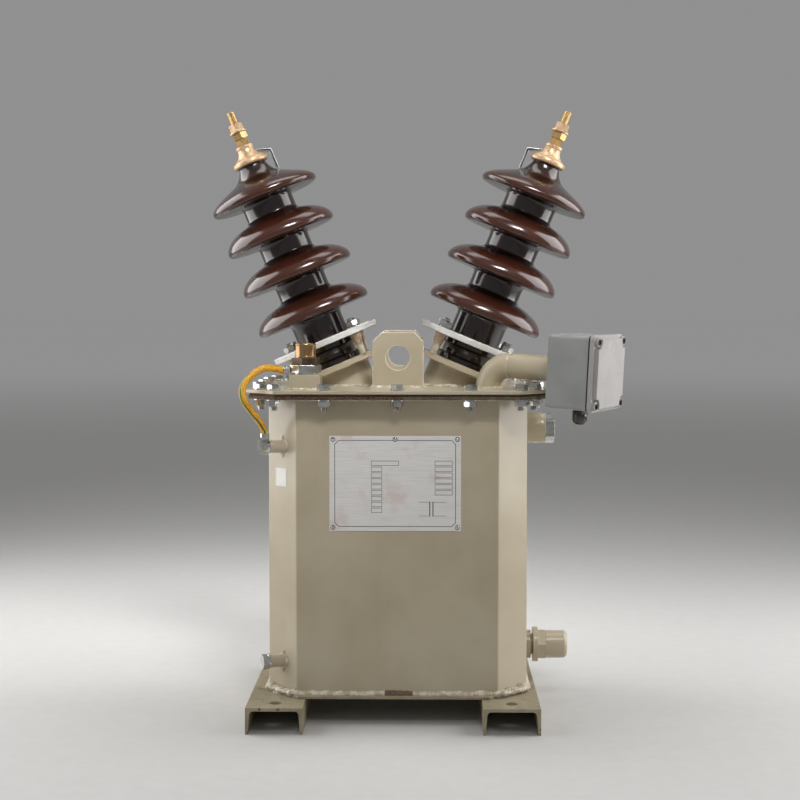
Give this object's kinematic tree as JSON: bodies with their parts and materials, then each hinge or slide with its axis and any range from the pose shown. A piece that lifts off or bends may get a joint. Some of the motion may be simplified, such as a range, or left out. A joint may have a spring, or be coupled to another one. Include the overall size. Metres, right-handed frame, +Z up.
{
  "type": "outdoor oil-immersed voltage transformer",
  "caption": "Octagonal steel tank on channel feet with a bolted lid, inclined brown porcelain bushings with brass terminals, lifting lugs, drain and a small terminal box.",
  "frame": {"origin": "on the ground plane under the middle of the tank", "axes": "+Z up, -Y towards the front face with the rating plate, +X towards the terminal box"},
  "size_m": [0.5997, 0.4268, 0.882],
  "materials": {
    "tank_paint": "satin beige-grey enamel",
    "porcelain": "glossy brown glaze",
    "brass": "bare cast and turned brass",
    "zinc": "bright zinc plate",
    "cast_alloy": "bare cast alloy",
    "dark_steel": "dark oxidised steel",
    "dark_nickel": "dark polished plate",
    "cork": "rough bonded cork",
    "box_paint": "hammered grey paint",
    "box_lid_paint": "satin light grey paint",
    "window": "clear glass over oil",
    "cable_sheath": "amber sheath with a green stripe",
    "plate_metal": "etched plate"
  },
  "bodies": {
    "root": {"left_foot": "tank_paint", "right_foot": "tank_paint", "tank_base": "tank_paint", "tank_shell": "tank_paint", "tank_flange": "tank_paint", "lid_gasket": "cork", "lid": "tank_paint", "front_lifting_lug": "tank_paint", "rear_lifting_lug": "tank_paint", "left_turret": "tank_paint", "right_turret": "tank_paint", "left_turret_flange": "tank_paint", "right_turret_flange": "tank_paint", "left_clamp_posts": "cast_alloy", "right_clamp_posts": "cast_alloy", "left_clamp_ring": "cast_alloy", "right_clamp_ring": "cast_alloy", "left_bushing": "porcelain", "right_bushing": "porcelain", "left_terminal_cap": "brass", "right_terminal_cap": "brass", "left_terminal_stud": "brass", "right_terminal_stud": "brass", "terminal_nuts": "brass", "cap_clips": "zinc", "filler_block": "tank_paint", "filler_collar": "zinc", "filler_nut": "dark_steel", "filler_plug": "brass", "conduit_elbow": "tank_paint", "conduit_locknut": "zinc", "terminal_box": "box_paint", "terminal_box_lid": "box_lid_paint", "cable_gland": "dark_nickel", "sight_glass_boss": "tank_paint", "sight_glass_bezel": "zinc", "sight_glass": "window", "drain_boss": "tank_paint", "drain_valve": "tank_paint", "drain_cap": "tank_paint", "earth_bosses": "tank_paint", "earth_bolts": "zinc", "jumper_lugs": "zinc", "earth_jumper": "cable_sheath", "nameplate": "plate_metal"}
  },
  "joints": []
}
